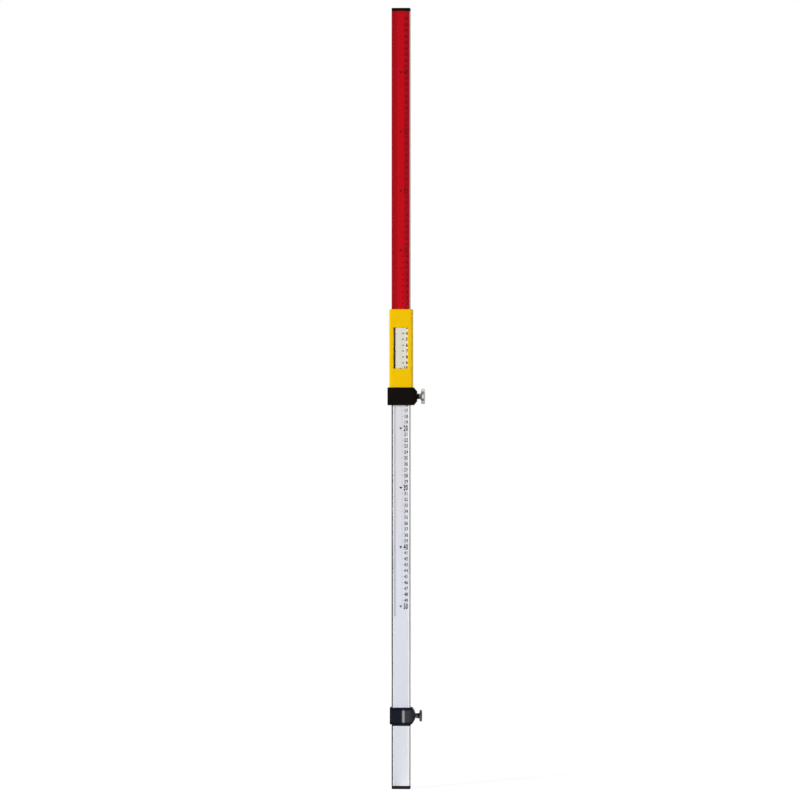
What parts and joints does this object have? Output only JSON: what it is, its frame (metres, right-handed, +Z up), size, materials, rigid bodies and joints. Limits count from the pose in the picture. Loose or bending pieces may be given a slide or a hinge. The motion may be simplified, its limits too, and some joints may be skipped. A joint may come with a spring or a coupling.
{
  "type": "levelling staff",
  "caption": "Telescopic levelling staff: a graduated rectangular bar on an extending foot, with a clamped reading slide and knurled lock knobs.",
  "frame": {"origin": "centre of the foot's sole", "axes": "+Z up the staff, -Y towards the graduated front, +X towards the clamp knobs"},
  "size_m": [0.0624, 0.0334, 1.317],
  "materials": {
    "anodised_aluminium": "satin, drawn",
    "red_scale": "satin print",
    "silver_scale": "satin print",
    "yellow_plastic": "moulded",
    "black_plastic": "moulded, fine grain",
    "black_gloss_plastic": "moulded",
    "glide_plastic": "moulded",
    "nickel": "plated, knurled",
    "steel": "turned",
    "brass": "turned"
  },
  "bodies": {
    "foot": {"foot_cap": "black_plastic", "foot_shoe": "anodised_aluminium", "shoe_packing": "black_plastic", "shoe_rivets": "anodised_aluminium", "inner_rod": "anodised_aluminium", "rod_guide": "black_plastic", "guide_pin": "steel"},
    "graduated_bar": {"main_profile": "anodised_aluminium", "top_cap": "black_plastic", "guide_bush": "black_plastic", "red_scale_strip": "red_scale", "silver_scale_strip": "silver_scale", "lower_collar": "black_gloss_plastic", "lower_collar_screws": "steel", "lower_thread_insert": "brass"},
    "lower_pad": {"lower_clamp_pad": "brass"},
    "lower_screw": {"lower_clamp_stud": "steel", "lower_clamp_knob": "steel"},
    "reading_slide": {"sliding_sleeve": "yellow_plastic", "sleeve_glides": "glide_plastic", "upper_collar": "black_plastic", "upper_collar_screws": "steel", "upper_thread_insert": "brass"},
    "upper_pad": {"upper_clamp_pad": "brass"},
    "upper_screw": {"upper_clamp_stud": "steel", "upper_clamp_knob": "nickel"}
  },
  "joints": [
    {"name": "foot_extension", "type": "slide", "parent": "foot", "child": "graduated_bar", "axis": [0, 0, 1], "range_m": [0, 1.084]},
    {"name": "slide_travel", "type": "slide", "parent": "graduated_bar", "child": "reading_slide", "axis": [0, 0, 1], "range_m": [-0.5, 0.5]},
    {"name": "lower_pad_press", "type": "slide", "parent": "graduated_bar", "child": "lower_pad", "axis": [1, 0, 0], "range_m": [0, 0.001]},
    {"name": "lower_screw_turn", "type": "hinge", "parent": "lower_pad", "child": "lower_screw", "pos_m": [0.02, 0, 0.1233], "axis": [1, 0, 0], "range_deg": [0, 360]},
    {"name": "upper_pad_press", "type": "slide", "parent": "reading_slide", "child": "upper_pad", "axis": [1, 0, 0], "range_m": [0, 0.001]},
    {"name": "upper_screw_turn", "type": "hinge", "parent": "upper_pad", "child": "upper_screw", "pos_m": [0.02, 0, 0.6621], "axis": [1, 0, 0], "range_deg": [0, 360]}
  ],
  "couplings": [
    {"joint": "lower_screw_turn", "follows": "lower_pad_press", "rad_per_m": 6283.2},
    {"joint": "upper_screw_turn", "follows": "upper_pad_press", "rad_per_m": 6283.2}
  ]
}
